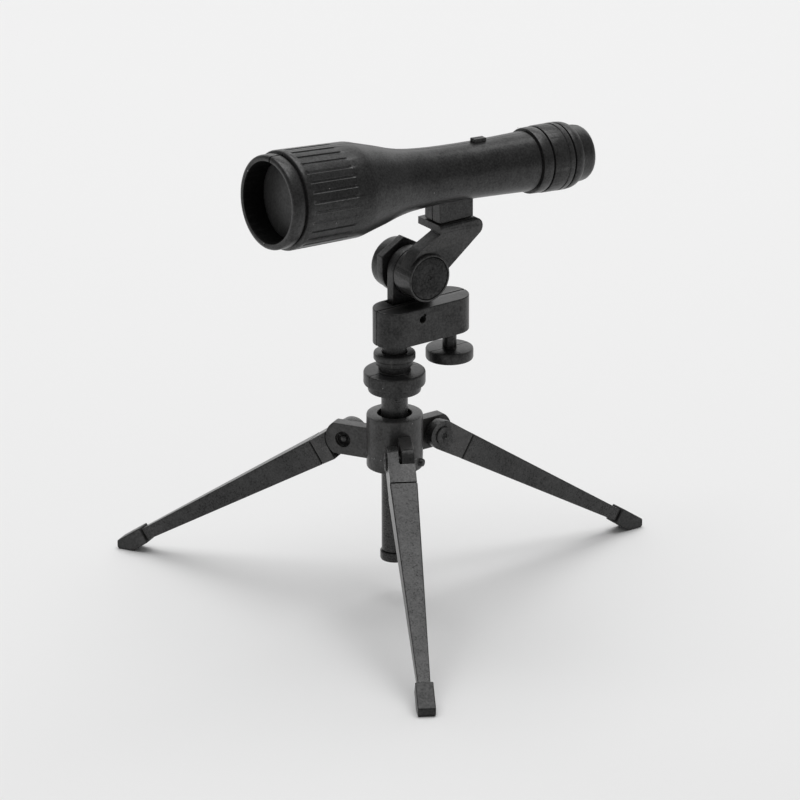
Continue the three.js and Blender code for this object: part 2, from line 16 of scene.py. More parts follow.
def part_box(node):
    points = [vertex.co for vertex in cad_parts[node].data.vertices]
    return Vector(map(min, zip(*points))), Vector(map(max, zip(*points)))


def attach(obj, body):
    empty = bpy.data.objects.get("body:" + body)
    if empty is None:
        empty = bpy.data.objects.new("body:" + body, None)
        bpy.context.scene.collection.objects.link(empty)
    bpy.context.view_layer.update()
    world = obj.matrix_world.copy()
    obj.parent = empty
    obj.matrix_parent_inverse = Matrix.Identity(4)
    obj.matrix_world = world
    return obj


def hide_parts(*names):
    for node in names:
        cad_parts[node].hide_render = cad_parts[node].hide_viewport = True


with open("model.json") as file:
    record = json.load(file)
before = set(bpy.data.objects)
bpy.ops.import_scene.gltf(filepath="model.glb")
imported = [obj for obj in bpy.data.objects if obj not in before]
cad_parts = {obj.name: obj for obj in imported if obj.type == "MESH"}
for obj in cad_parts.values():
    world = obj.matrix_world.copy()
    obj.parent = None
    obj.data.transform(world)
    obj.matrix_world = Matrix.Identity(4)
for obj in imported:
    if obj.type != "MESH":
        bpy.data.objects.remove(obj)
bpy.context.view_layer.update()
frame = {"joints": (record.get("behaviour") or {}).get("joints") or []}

MM = 0.001
RIM_GROOVE_DEPTH = 0.13
SIDES = 96                  # sides of a turned piece
PIN_SIDES = 48
FLASH_SIDES = 7
SHARP_ANGLE = 40            # degrees; edges sharper than this keep a hard shading
SEAM = 0.05                 # each moulded half stops this far from the parting plane
LEG_SLOPE = 32.4            # degrees below level, with the legs open
TUBE_RISE = 4.0             # degrees that the objective end points upwards

joints = {joint["name"]: joint for joint in frame["joints"]}


# ---- places in the frame, in millimetres ----------------------------------

def low(node):
    return Vector(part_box(node)[0]) / MM


def high(node):
    return Vector(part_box(node)[1]) / MM


def middle(node):
    return (low(node) + high(node)) / 2


def pivot(joint):
    return Vector(joints[joint]["pos_m"]) / MM


def turn(axis, degrees):
    return Matrix.Rotation(math.radians(degrees), 4, axis)


def shift(x=0.0, y=0.0, z=0.0):
    return Matrix.Translation((x, y, z))


COLUMN = pivot("head_pan")
TILT = pivot("head_tilt")
KNOB = pivot("pan_knob_turn")
ON_COLUMN = shift(COLUMN.x, COLUMN.y, 0)
ON_KNOB = shift(KNOB.x, KNOB.y, 0)
ON_TILT = shift(0, TILT.y, TILT.z)


# ---- making solids ----------------------------------------------------------

def arc(x, y, radius, start, end, steps=12):
    """Points along part of a circle, from one angle to another in degrees."""
    points = []
    for i in range(steps + 1):
        angle = math.radians(start + (end - start) * i / steps)
        points.append((x + radius * math.cos(angle), y + radius * math.sin(angle)))
    return points


def new_object(name, vertices, faces):
    mesh = bpy.data.meshes.new(name)
    mesh.from_pydata([tuple(v) for v in vertices], [], faces)
    mesh.validate()
    piece = bpy.data.objects.new(name, mesh)
    bpy.context.scene.collection.objects.link(piece)
    bm = bmesh.new()
    bm.from_mesh(mesh)
    bmesh.ops.remove_doubles(bm, verts=bm.verts, dist=1e-5)
    bmesh.ops.recalc_face_normals(bm, faces=bm.faces)
    bm.to_mesh(mesh)
    bm.free()
    return piece


def turned(name, profile, sides=SIDES):
    """A solid turned about Z. The profile lists (radius, height) from bottom to top."""
    vertices, rings = [], []
    for radius, height in profile:
        if radius < 1e-6:
            rings.append([len(vertices)] * sides)
            vertices.append((0, 0, height))
            continue
        rings.append(range(len(vertices), len(vertices) + sides))
        for i in range(sides):
            angle = math.tau * i / sides
            vertices.append((radius * math.cos(angle), radius * math.sin(angle), height))
    faces = []
    for lower, upper in zip(rings, rings[1:]):
        for i in range(sides):
            j = (i + 1) % sides
            corners = [lower[i], lower[j], upper[j], upper[i]]
            unique = list(dict.fromkeys(corners))
            if len(unique) > 2:
                faces.append(unique)
    return new_object(name, vertices, faces)


def rod(name, radius, bottom, top, sides=PIN_SIDES):
    return turned(name, [(0, bottom), (radius, bottom), (radius, top), (0, top)], sides)


def prism(name, outline, start, end, axis="Z"):
    """An outline made thick along Z, or a Y-Z outline made thick along X."""
    count = len(outline)
    if axis == "Z":
        vertices = [(a, b, level) for level in (start, end) for a, b in outline]
    else:
        vertices = [(level, a, b) for level in (start, end) for a, b in outline]
    sides = [(i, (i + 1) % count, count + (i + 1) % count, count + i) for i in range(count)]
    return new_object(name, vertices, [range(count), range(count, 2 * count), *sides])


def block(name, low_corner, high_corner):
    (x0, y0, z0), (x1, y1, z1) = low_corner, high_corner
    return prism(name, [(x0, y0), (x1, y0), (x1, y1), (x0, y1)], z0, z1)


def moved(piece, matrix):
    piece.data.transform(matrix)
    return piece


def applied(piece):
    """Puts the result of an object's modifiers into its mesh."""
    graph = bpy.context.evaluated_depsgraph_get()
    mesh = bpy.data.meshes.new_from_object(piece.evaluated_get(graph))
    piece.modifiers.clear()
    old = piece.data
    piece.data = mesh
    bpy.data.meshes.remove(old)
    return piece


def combined(piece, others, operation):
    for other in others:
        step = piece.modifiers.new(operation, "BOOLEAN")
        step.operation = operation
        step.solver = "EXACT"
        step.object = other
    applied(piece)
    for other in others:
        bpy.data.objects.remove(other)
    return piece


def joined(piece, *others):
    return combined(piece, others, "UNION")


def cut(piece, *others):
    return combined(piece, others, "DIFFERENCE")


def softened(piece, width, segments=3, angle=32):
    """Rounds every edge sharper than the angle, as a mould does."""
    step = piece.modifiers.new("rounding", "BEVEL")
    step.width = width
    step.segments = segments
    step.limit_method = "ANGLE"
    step.angle_limit = math.radians(angle)
    step.miter_outer = "MITER_ARC"
    return applied(piece)


def with_glinting_flash(piece, spots):
    """Adds tiny torn bits of moulding flash, coloured pale as painted glints; each spot lists x, y, z
    and a radius.
    """
    draw = random.Random(len(spots))
    bm = bmesh.new()
    bm.from_mesh(piece.data)
    for x, y, z, radius in spots:
        profile = [(0, -radius), (radius, -0.3 * radius), (0.8 * radius, 0.5 * radius), (0, radius)]
        bit = turned("bit", profile, FLASH_SIDES)
        for vertex in bit.data.vertices:
            vertex.co *= draw.uniform(0.7, 1.2)
        moved(bit, shift(x, y, z))
        for polygon in bit.data.polygons:
            # Slot 1 holds the pale colour that paints glints on the flash.
            polygon.material_index = 1
        bm.from_mesh(bit.data)
        mesh = bit.data
        bpy.data.objects.remove(bit)
        bpy.data.meshes.remove(mesh)
    bm.to_mesh(piece.data)
    bm.free()
    return piece


def finished(piece, place, body, nodes, slot, *materials):
    """Smooths the shading, moves the piece to its place in metres and ties it to the frame."""
    moved(piece, Matrix.Scale(MM, 4) @ place)
    mesh = piece.data
    indices = [polygon.material_index if len(materials) > 1 else 0 for polygon in mesh.polygons]
    for polygon in mesh.polygons:
        polygon.use_smooth = True
    mesh.set_sharp_from_angle(angle=math.radians(SHARP_ANGLE))
    step = piece.modifiers.new("even shading", "WEIGHTED_NORMAL")
    step.keep_sharp = True
    step.weight = 80
    mesh.materials.clear()
    for material in materials:
        mesh.materials.append(material)
    for polygon, index in zip(mesh.polygons, indices):
        polygon.material_index = index
    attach(piece, body)
    if nodes:
        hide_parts(*nodes)
    return piece


# ---- surface effects --------------------------------------------------------

def effect_group(name, inputs, outputs):
    """An empty node group with number inputs and the outputs that are asked for."""
    group = bpy.data.node_groups.new(name, "ShaderNodeTree")
    for label, value in inputs.items():
        socket = group.interface.new_socket(label, in_out="INPUT", socket_type="NodeSocketFloat")
        socket.default_value = value
    for label, kind in outputs.items():
        group.interface.new_socket(label, in_out="OUTPUT", socket_type=kind)
    return group, group.nodes.new("NodeGroupInput"), group.nodes.new("NodeGroupOutput")


def maths(tree, operation, first, second, clamp=False):
    node = tree.nodes.new("ShaderNodeMath")
    node.operation = operation
    node.use_clamp = clamp
    for socket, value in zip(node.inputs, (first, second)):
        if isinstance(value, (int, float)):
            socket.default_value = value
        else:
            tree.links.new(value, socket)
    return node.outputs[0]


def noise(tree, position, scale, detail, roughness=0.5):
    node = tree.nodes.new("ShaderNodeTexNoise")
    node.inputs["Detail"].default_value = detail
    node.inputs["Roughness"].default_value = roughness
    tree.links.new(position, node.inputs["Vector"])
    if isinstance(scale, (int, float)):
        node.inputs["Scale"].default_value = scale
    else:
        tree.links.new(scale, node.inputs["Scale"])
    return node.outputs["Fac"]


def object_position(tree):
    return tree.nodes.new("ShaderNodeTexCoord").outputs["Object"]


def spark_grain():
    """The fine, even grain of a spark-eroded mould, with broad uneven gloss under it."""
    group, given, out = effect_group(
        "spark grain", {"Grains per metre": 3200.0, "Depth": 0.5},
        {"Height": "NodeSocketFloat", "Mottle": "NodeSocketFloat"})
    position = object_position(group)
    fine = noise(group, position, given.outputs["Grains per metre"], 2.0, 0.6)
    coarse_scale = maths(group, "MULTIPLY", given.outputs["Grains per metre"], 0.3)
    coarse = noise(group, position, coarse_scale, 3.0, 0.55)
    height = maths(group, "ADD", maths(group, "MULTIPLY", fine, 0.65),
                   maths(group, "MULTIPLY", coarse, 0.35))
    height = maths(group, "MULTIPLY", height, given.outputs["Depth"])
    group.links.new(height, out.inputs["Height"])
    broad = noise(group, position, 260.0, 4.0, 0.6)
    grainy = maths(group, "ADD", maths(group, "MULTIPLY", fine, 0.55),
                   maths(group, "MULTIPLY", coarse, 0.2))
    mottle = maths(group, "ADD", grainy, maths(group, "MULTIPLY", broad, 0.25))
    group.links.new(mottle, out.inputs["Mottle"])
    return group


def edge_wear_and_highlight():
    """A mask that is high on outward edges, broken up by noise: real edge wear plus a painted
    highlight.
    """
    group, given, out = effect_group("edge wear and painted highlight", {"Amount": 0.5}, {"Mask": "NodeSocketFloat"})
    position = object_position(group)
    shape = group.nodes.new("ShaderNodeNewGeometry").outputs["Pointiness"]
    edge = maths(group, "MULTIPLY", maths(group, "SUBTRACT", shape, 0.52), 9.0, clamp=True)
    broken = maths(group, "MULTIPLY", noise(group, position, 900.0, 5.0, 0.7), 1.5, clamp=True)
    patchy_edge = maths(group, "MULTIPLY", edge, broken)
    worn_and_lit = maths(group, "MULTIPLY", patchy_edge, given.outputs["Amount"], clamp=True)
    group.links.new(worn_and_lit, out.inputs["Mask"])
    return group


def dust_specks():
    """A mask of sparse, tiny pale specks, such as moulding dust."""
    group, given, out = effect_group(
        "dust specks", {"Specks per metre": 420.0, "Share": 0.1},
        {"Mask": "NodeSocketFloat"})
    position = object_position(group)
    cells = group.nodes.new("ShaderNodeTexVoronoi")
    cells.inputs["Randomness"].default_value = 1.0
    group.links.new(position, cells.inputs["Vector"])
    group.links.new(given.outputs["Specks per metre"], cells.inputs["Scale"])
    split = group.nodes.new("ShaderNodeSeparateColor")
    group.links.new(cells.outputs["Color"], split.inputs["Color"])
    chosen = maths(group, "LESS_THAN", split.outputs["Red"], given.outputs["Share"])
    size = maths(group, "MULTIPLY", split.outputs["Green"], 0.1)
    near = maths(group, "LESS_THAN", cells.outputs["Distance"], size)
    group.links.new(maths(group, "MULTIPLY", chosen, near), out.inputs["Mask"])
    return group


SPARK_GRAIN = spark_grain()
# Paler edges: part real wear, part painted highlight.
EDGE_WEAR_AND_HIGHLIGHT = edge_wear_and_highlight()
DUST_SPECKS = dust_specks()


def placed(tree, group, **values):
    node = tree.nodes.new("ShaderNodeGroup")
    node.node_tree = group
    for label, value in values.items():
        node.inputs[label.replace("_", " ")].default_value = value
    return node


def blended(tree, amount, first, second):
    node = tree.nodes.new("ShaderNodeMix")
    node.data_type = "RGBA"
    tree.links.new(amount, node.inputs["Factor"])
    for socket, value in ((node.inputs["A"], first), (node.inputs["B"], second)):
        if isinstance(value, tuple):
            socket.default_value = value
        else:
            tree.links.new(value, socket)
    return node.outputs["Result"]


def grey(value, warmth=0.0):
    return (value * (1 + warmth), value, value * (1 - warmth * 0.6), 1.0)


DUST_GREY = 0.34
BUMP_STRENGTH = 0.35
BUMP_METRES = 0.00004


def moulded_black(name, shade, gloss, grain=3200.0, depth=0.5, wear_and_highlight=0.5, specks=0.12,
                  uneven=1.5, sheen_level=0.4):
    """Black moulded plastic: shade is its base grey and gloss its middle roughness.

    Grain is in grains per metre, specks is the share of cells that hold a speck, and
    uneven says how far the sheen swings about its level.
    """
    material = bpy.data.materials.new(name)
    material.use_nodes = True
    tree = material.node_tree
    shader = tree.nodes["Principled BSDF"]
    texture = placed(tree, SPARK_GRAIN, Grains_per_metre=grain, Depth=depth)
    worn_and_lit = placed(tree, EDGE_WEAR_AND_HIGHLIGHT, Amount=wear_and_highlight)
    dust = placed(tree, DUST_SPECKS, Share=specks)
    mottle = texture.outputs["Mottle"]
    plastic = blended(tree, mottle, grey(shade * 0.5), grey(shade * 1.5))
    # Outward edges lightened: part real wear, part painted highlight.
    worn_and_lit_colour = blended(tree, worn_and_lit.outputs["Mask"], plastic, grey(shade * 6, 0.02))
    dusty = blended(tree, dust.outputs["Mask"], worn_and_lit_colour, grey(DUST_GREY, 0.04))
    tree.links.new(dusty, shader.inputs["Base Color"])
    sheen = maths(tree, "MULTIPLY", maths(tree, "SUBTRACT", mottle, 0.5), uneven)
    sheen = maths(tree, "ADD", sheen, sheen_level, clamp=True)
    tree.links.new(sheen, shader.inputs["Specular IOR Level"])
    spread = maths(tree, "MULTIPLY", maths(tree, "SUBTRACT", mottle, 0.5), 0.3)
    rough = maths(tree, "ADD", spread, gloss)
    polished = maths(tree, "MULTIPLY", worn_and_lit.outputs["Mask"], 0.12)
    rough = maths(tree, "SUBTRACT", rough, polished, clamp=True)
    tree.links.new(rough, shader.inputs["Roughness"])
    bump = tree.nodes.new("ShaderNodeBump")
    bump.inputs["Strength"].default_value = BUMP_STRENGTH
    bump.inputs["Distance"].default_value = BUMP_METRES
    tree.links.new(texture.outputs["Height"], bump.inputs["Height"])
    tree.links.new(bump.outputs["Normal"], shader.inputs["Normal"])
    shader.inputs["IOR"].default_value = 1.5
    return material


TUBE_PLASTIC = moulded_black("tube plastic", 0.015, 0.34, grain=3000.0, depth=0.6)
BODY_PLASTIC = moulded_black("head and hub plastic", 0.015, 0.36, grain=2800.0, depth=0.7)
LEG_PLASTIC = moulded_black("leg plastic", 0.02, 0.3, grain=3400.0, depth=0.4)
FOOT_PLASTIC = moulded_black("foot plastic", 0.016, 0.38, grain=2600.0, depth=0.8, wear_and_highlight=0.3)
COLUMN_PLASTIC = moulded_black("column plastic", 0.014, 0.3, grain=3600.0, depth=0.35)
# Pale flash bits: the paleness is a painted glint.
GLINTING_FLASH_PLASTIC = moulded_black("torn flash with painted glints", 0.3, 0.3, wear_and_highlight=0.0, specks=0.0)
# Paler flute walls: a painted highlight where the light from above catches them.
FLUTE_HIGHLIGHT_PLASTIC = moulded_black("painted highlight on flute walls", 0.09, 0.3, uneven=2.5)
CAP_PLASTIC = moulded_black("tilt pin plastic", 0.009, 0.4, grain=2800.0, depth=0.6, wear_and_highlight=0.8,
                            specks=0.3, sheen_level=0.25)
PIN_PLASTIC = moulded_black("pin plastic", 0.014, 0.33, grain=3600.0, depth=0.3, wear_and_highlight=0.7)
KNOB_PLASTIC = moulded_black("knob plastic", 0.015, 0.34, grain=2800.0, depth=0.6)
LENS_PLASTIC = moulded_black("blank lens", 0.055, 0.45, grain=2400.0, wear_and_highlight=0.0, specks=0.2)
# Near-black inside of the tube: painted shade in the hollow.
SHADED_INSIDE_PLASTIC = moulded_black("inside of the tube, painted shade", 0.003, 0.6, grain=2400.0, wear_and_highlight=0.0,
                               specks=0.05, uneven=0.3, sheen_level=0.1)


def parting_groove(near, far, bottom, top, at=0.0, width=0.12):
    """A thin cutter in the plane where two mould halves met."""
    return block("groove", (at - width / 2, near, bottom), (at + width / 2, far, top))


def grooved_rim(piece, rim, hub_edge, bottom, face):
    """Marks the parting plane on both sides of a round rim and across its upper face."""
    for side in (-1, 1):
        for start, floor in ((rim - RIM_GROOVE_DEPTH, bottom), (hub_edge, face - 0.1)):
            near, far = sorted((side * start, side * (rim + 1)))
            cut(piece, parting_groove(near, far, floor, face + 1))


# ---- hub and column ---------------------------------------------------------

HUB_RADIUS = 4.55
HUB_BORE = 2.28
HUB_MOUTH = 2.78              # the bore is wider near the top
MOUTH_DEPTH = 0.9
LUG_ROOT = 3.4                # how far from the column's axis each lug begins
LUG_RIGHT = -0.05
LUG_LEFT = -2.15
LUG_HALF_HEIGHT = 2.65
LUG_END_RADIUS = 3.15
PIN_HOLE = 1.2
PIN_MOUTH = 1.35              # the hole is wider where the pin's nub shows
MOULD_LINE_DROP = 6.8         # from the hub's top to the mould's parting line
COLUMN_RADIUS = 2.15
SPIGOT_RADIUS = 1.15
LEGS = ("rear_leg", "front_left_leg", "front_right_leg")


def leg_bearing(leg):
    """Turns a piece drawn with the leg along +Y, at the column's axis, to the leg's own bearing."""
    left = Vector(joints[leg + "_fold"]["axis"])
    return Matrix.Rotation(math.atan2(-left.x, left.y) - math.pi / 2, 4, "Z")


def pivot_reach(leg):
    return (pivot(leg + "_fold") - COLUMN).to_2d().length


def make_hub():
    bottom = low("hub").z
    top = high("hub").z
    height = pivot("rear_leg_fold").z
    edge = 0.28
    barrel = turned("hub_body", [
        (HUB_BORE, bottom), (HUB_RADIUS - edge, bottom), (HUB_RADIUS - 0.06, bottom + 0.12),
        (HUB_RADIUS, bottom + edge), (HUB_RADIUS, top - edge), (HUB_RADIUS - 0.08, top - 0.08),
        (HUB_RADIUS - edge, top), (2.85, top), (HUB_MOUTH, top - 0.1), (HUB_MOUTH, top - MOUTH_DEPTH),
        (HUB_BORE, top - MOUTH_DEPTH), (HUB_BORE, bottom)])
    lugs, holes = [], []
    corner = math.degrees(math.asin(LUG_HALF_HEIGHT / LUG_END_RADIUS))
    for leg in LEGS:
        bearing = leg_bearing(leg)
        reach = pivot_reach(leg)
        outline = [(LUG_ROOT, height - LUG_HALF_HEIGHT),
                   *arc(reach, height, LUG_END_RADIUS, -corner, corner, 24),
                   (LUG_ROOT, height + LUG_HALF_HEIGHT)]
        lug = softened(prism("lug", outline, LUG_LEFT, LUG_RIGHT, "X"), 0.16)
        lugs.append(moved(lug, bearing))
        for radius, start, end in ((PIN_HOLE, -4, 1), (PIN_MOUTH, LUG_LEFT - 1, LUG_LEFT + 0.6)):
            hole = moved(rod("hole", radius, start, end), turn("Y", 90))
            holes.append(moved(hole, bearing @ shift(0, reach, height)))
    peg_hole = moved(rod("hole", 0.7, 2.0, 7.0), peg_place())
    hub = cut(joined(barrel, *lugs), *holes, peg_hole)
    softened(hub, 0.07, 2)
    draw = random.Random(11)
    line = top - MOULD_LINE_DROP
    bearings = [draw.uniform(-125, -50) for _ in range(14)]
    bearings += [draw.uniform(0, 230) for _ in range(12)]
    spots = []
    for degrees in bearings:
        angle = math.radians(degrees)
        spots.append((HUB_RADIUS * math.cos(angle), HUB_RADIUS * math.sin(angle),
                      line + draw.uniform(-0.12, 0.12), draw.uniform(0.04, 0.1)))
    # Pale flash bits on the hub: painted glints.
    spots.append((HUB_RADIUS, 0.2, top - 0.55, 0.11))
    with_glinting_flash(hub, spots)
    finished(hub, ON_COLUMN, "hub", ["hub"], "body_black", BODY_PLASTIC, GLINTING_FLASH_PLASTIC)


def peg_place():
    """Lays a rod drawn along Z from the column's axis along the friction peg."""
    centre = middle("column_peg")
    away = centre - COLUMN
    bearing = Matrix.Rotation(math.atan2(away.y, away.x), 4, "Z")
    return bearing @ shift(0, 0, centre.z) @ turn("Y", 90)


def make_column_peg():
    corners = [(corner("column_peg") - COLUMN).to_2d().length for corner in (low, high)]
    start, radius = 2.3, 0.65
    end = min(max(corners), 5.2)
    piece = turned("column_peg_end", [
        (0, start), (radius - 0.05, start), (radius, start + 0.1), (radius, end - 0.3),
        (radius - 0.09, end - 0.1), (0.3, end), (0, end + 0.03)], PIN_SIDES)
    moved(piece, peg_place())
    finished(piece, ON_COLUMN, "hub", ["column_peg"], "pin_black", PIN_PLASTIC)


def make_column():
    bottom = low("column").z
    shoulder = high("column_end_cap").z + 0.1
    top = low("head_plate").z - 0.1
    radius = COLUMN_RADIUS
    post = turned("column_rod", [
        (0, bottom), (SPIGOT_RADIUS, bottom), (SPIGOT_RADIUS, shoulder), (radius - 0.1, shoulder),
        (radius, shoulder + 0.1), (radius, top - 0.1), (radius - 0.1, top),
        (SPIGOT_RADIUS, top), (SPIGOT_RADIUS, top + 1.2), (0, top + 1.2)])
    gate = turned("gate", [(0, -0.2), (0.26, -0.2), (0.26, 0.02), (0.18, 0.08), (0, 0.1)], 24)
    moved(gate, turn("Z", -27) @ shift(radius, 0, top - 1.1) @ turn("Y", 90))
    joined(post, gate)
    bearing = math.radians(-29)
    torn = (radius * math.cos(bearing), radius * math.sin(bearing), top - 1.05, 0.09)
    # A pale flash bit on the column: a painted glint.
    with_glinting_flash(post, [torn])
    finished(post, ON_COLUMN, "column", ["column"], "column_black", COLUMN_PLASTIC, GLINTING_FLASH_PLASTIC)
    base = low("column_end_cap").z
    cap_top = high("column_end_cap").z
    cap_radius = 2.4
    cap = turned("column_cap", [
        (0, base + 0.1), (1.2, base), (cap_radius - 0.35, base), (cap_radius - 0.1, base + 0.1),
        (cap_radius, base + 0.35), (cap_radius, cap_top - 0.14), (cap_radius - 0.12, cap_top),
        (1.3, cap_top), (1.3, base + 0.6), (0, base + 0.6)])
    finished(cap, ON_COLUMN, "column", ["column_end_cap"], "column_black", COLUMN_PLASTIC)


PLATE_RADIUS = 5.0
TIER_RADIUS = 4.3
NECK_RADIUS = 2.58
SWIVEL_RADIUS = 2.0
COLLAR_RADIUS = 2.6
KNOB_SHAFT_RADIUS = 1.15
KNOB_COLLAR_RADIUS = 1.8
TILT_BORE = 1.4


def make_head_plate():
    base = low("head_plate").z
    top = high("head_plate").z
    tier_top = base + 1.25
    plate_top = base + 3.45
    neck_top = base + 4.4
    collar_low, collar_high = base + 9.8, base + 10.6
    piece = turned("head_plate_turned", [
        (0, base + 1.3), (1.3, base + 1.3), (1.3, base), (TIER_RADIUS - 0.3, base),
        (TIER_RADIUS - 0.08, base + 0.08), (TIER_RADIUS, base + 0.3),
        (TIER_RADIUS, tier_top - 0.05), (TIER_RADIUS + 0.06, tier_top),
        (PLATE_RADIUS - 0.3, tier_top), (PLATE_RADIUS - 0.07, tier_top + 0.09),
        (PLATE_RADIUS, tier_top + 0.3), (PLATE_RADIUS, plate_top - 0.32),
        (PLATE_RADIUS - 0.09, plate_top - 0.1), (PLATE_RADIUS - 0.32, plate_top),
        (NECK_RADIUS + 0.12, plate_top), (NECK_RADIUS, plate_top + 0.12),
        (NECK_RADIUS, neck_top), (SWIVEL_RADIUS, neck_top),
        (SWIVEL_RADIUS, collar_low), (COLLAR_RADIUS, collar_low),
        (COLLAR_RADIUS, collar_high), (SWIVEL_RADIUS, collar_high),
        (SWIVEL_RADIUS, top), (0, top)])
    grooved_rim(piece, PLATE_RADIUS, NECK_RADIUS + 0.1, base + 0.9, plate_top)
    finished(piece, ON_COLUMN, "column", ["head_plate"], "body_black", BODY_PLASTIC)


def make_pan_ring():
    base = low("pan_ring").z
    top = high("pan_ring").z
    bore = SWIVEL_RADIUS + 0.1
    radius = 3.38
    step_radius = 3.0
    step_top = base + 0.95
    piece = turned("swivel_ring", [
        (bore, base), (step_radius - 0.18, base), (step_radius - 0.04, base + 0.06),
        (step_radius, base + 0.2), (step_radius, step_top), (radius - 0.12, step_top),
        (radius, step_top + 0.16), (radius, top - 0.26), (radius - 0.08, top - 0.08),
        (radius - 0.26, top), (bore, top), (bore, base)])
    finished(piece, ON_COLUMN, "pan_ring", ["pan_ring"], "body_black", BODY_PLASTIC)


# ---- legs -------------------------------------------------------------------

CHEEK_RADIUS = 2.45
CHEEK_INNER = 0.4
CHEEK_OUTER = 2.15
NOTCH_RADIUS = 3.23
KNUCKLE_END = 5.6
KNUCKLE_DEPTH = 4.4
BEAM_END = 43.2
BEAM_ROOT = 4.46
BEAM_TIP = 2.05
FOOT_WIDTH = 2.88
FOOT_DEPTH = 2.75
TENON_HALF = 0.7
TENON_LENGTH = 1.6
SOCKET_HALF = 0.8
SOCKET_DEPTH = 1.7


def leg_place(leg):
    """The leg's own frame: the pivot at the origin, +Y down the leg and +Z its upper side."""
    at = pivot(leg + "_fold")
    return shift(*at) @ leg_bearing(leg) @ turn("X", -LEG_SLOPE)


def beam_socket(start, end):
    """The square hollow that holds one of the beam's tenons."""
    return block("socket", (-SOCKET_HALF, start, -SOCKET_HALF), (SOCKET_HALF, end, SOCKET_HALF))


def make_knuckle(leg):
    outline = [(KNUCKLE_END, KNUCKLE_DEPTH / 2), *arc(0, 0, CHEEK_RADIUS, 88, 272, 40),
               (KNUCKLE_END, -KNUCKLE_DEPTH / 2)]
    body = prism(leg + "_hinge_end", outline, -CHEEK_OUTER, CHEEK_OUTER, "X")
    space = [(NOTCH_RADIUS, -4), *arc(0, 0, NOTCH_RADIUS, 0, 85, 24), (0, 4), (-4, 4), (-4, -4)]
    notch = softened(prism("notch", space, -4, CHEEK_INNER, "X"), 0.35, 4)
    hole = moved(rod("hole", PIN_HOLE, 0, 4), turn("Y", 90))
    socket = beam_socket(KNUCKLE_END - SOCKET_DEPTH, KNUCKLE_END + 1)
    piece = softened(cut(body, notch, hole, socket), 0.13, 3)
    finished(piece, leg_place(leg), leg, [leg + "_knuckle"], "leg_black", LEG_PLASTIC)


def rounded_square(half, corner, steps=4):
    points = []
    inset = half - corner
    for sx, sz, start in ((1, 1, 0), (-1, 1, 90), (-1, -1, 180), (1, -1, 270)):
        points += arc(sx * inset, sz * inset, corner, start, start + 90, steps)
    return points


def lofted(name, stations):
    """A skin through rounded-square sections; stations list (distance, half width, corner)."""
    vertices, faces = [], []
    count = 0
    for along, half, corner in stations:
        section = rounded_square(half, corner)
        count = len(section)
        vertices += [(x, along, z) for x, z in section]
    for ring in range(len(stations) - 1):
        base = ring * count
        for i in range(count):
            j = (i + 1) % count
            faces.append((base + i, base + j, base + count + j, base + count + i))
    faces += [range(count), range(len(vertices) - count, len(vertices))]
    return new_object(name, vertices, faces)


def make_beam(leg):
    start = KNUCKLE_END + 0.17
    length = BEAM_END - start
    edge, steps = 0.12, 12
    stations = [(start - TENON_LENGTH, TENON_HALF, 0.05), (start - 0.001, TENON_HALF, 0.05),
                (start, BEAM_ROOT / 2 - edge, 0.14)]
    for i in range(steps + 1):
        share = i / steps
        half = (BEAM_ROOT + (BEAM_TIP - BEAM_ROOT) * share) / 2
        along = start + edge + (length - edge) * share
        stations.append((along, half, 0.24 - 0.06 * share))
    stations += [(BEAM_END + 0.001, TENON_HALF, 0.05), (BEAM_END + TENON_LENGTH, TENON_HALF, 0.05)]
    piece = lofted(leg + "_tapered_beam", stations)
    finished(piece, leg_place(leg), leg, [leg + "_beam"], "leg_black", LEG_PLASTIC)


def make_foot(leg):
    """A square sleeve over the beam's end, cut off level for the sole."""
    slope = math.radians(LEG_SLOPE)
    reach = pivot_reach(leg)
    height = pivot(leg + "_fold").z
    along = Vector((math.cos(slope), -math.sin(slope)))
    up = Vector((math.sin(slope), math.cos(slope)))
    start = Vector((reach, height)) + along * (BEAM_END + 0.1)
    back_top = start + up * FOOT_DEPTH / 2
    back_bottom = start - up * FOOT_DEPTH / 2
    toe_reach = 49.6
    sole_start, sole_end, toe_height = 46.7, 49.3, 1.4
    outline = [tuple(back_top), tuple(back_bottom), (sole_start, 0), (sole_end, 0),
               (toe_reach, toe_reach - sole_end), (toe_reach, toe_height)]
    body = prism(leg + "_shoe", outline, -FOOT_WIDTH / 2, FOOT_WIDTH / 2, "X")
    moved(body, turn("X", LEG_SLOPE) @ shift(0, -reach, -height))
    socket = beam_socket(BEAM_END - 1, BEAM_END + SOCKET_DEPTH)
    piece = softened(cut(body, socket), 0.2, 4)
    finished(piece, leg_place(leg), leg, [leg + "_foot"], "foot_black", FOOT_PLASTIC)


def make_leg_pin(leg):
    head = CHEEK_OUTER + 0.1
    nub_end = LUG_LEFT + 0.12
    shoulder = LUG_LEFT + 0.7
    radius, head_radius = 1.1, 1.5
    piece = turned(leg + "_snap_pin", [
        (0, nub_end), (0.35, nub_end + 0.02), (0.5, nub_end + 0.1), (0.56, nub_end + 0.24),
        (0.6, shoulder), (radius - 0.1, shoulder), (radius, shoulder + 0.1), (radius, head),
        (head_radius, head), (head_radius, head + 0.1), (head_radius - 0.1, head + 0.2),
        (0.62, head + 0.19), (0.5, head + 0.17), (0.42, head + 0.06), (0.2, head + 0.02),
        (0, head + 0.1)], PIN_SIDES)
    torn = random.Random(leg)
    phase, lean = torn.uniform(0, math.tau), torn.uniform(0, math.tau)
    for vertex in piece.data.vertices:
        if vertex.co.z > head and vertex.co.xy.length < 0.55:
            angle = math.atan2(vertex.co.y, vertex.co.x)
            vertex.co.z += 0.07 * math.sin(3 * angle + phase) + 0.06 * math.cos(angle - lean)
    moved(piece, turn("Y", 90))
    finished(piece, leg_place(leg), leg, [leg + "_pin"], "pin_black", PIN_PLASTIC)


# ---- swivel block -----------------------------------------------------------

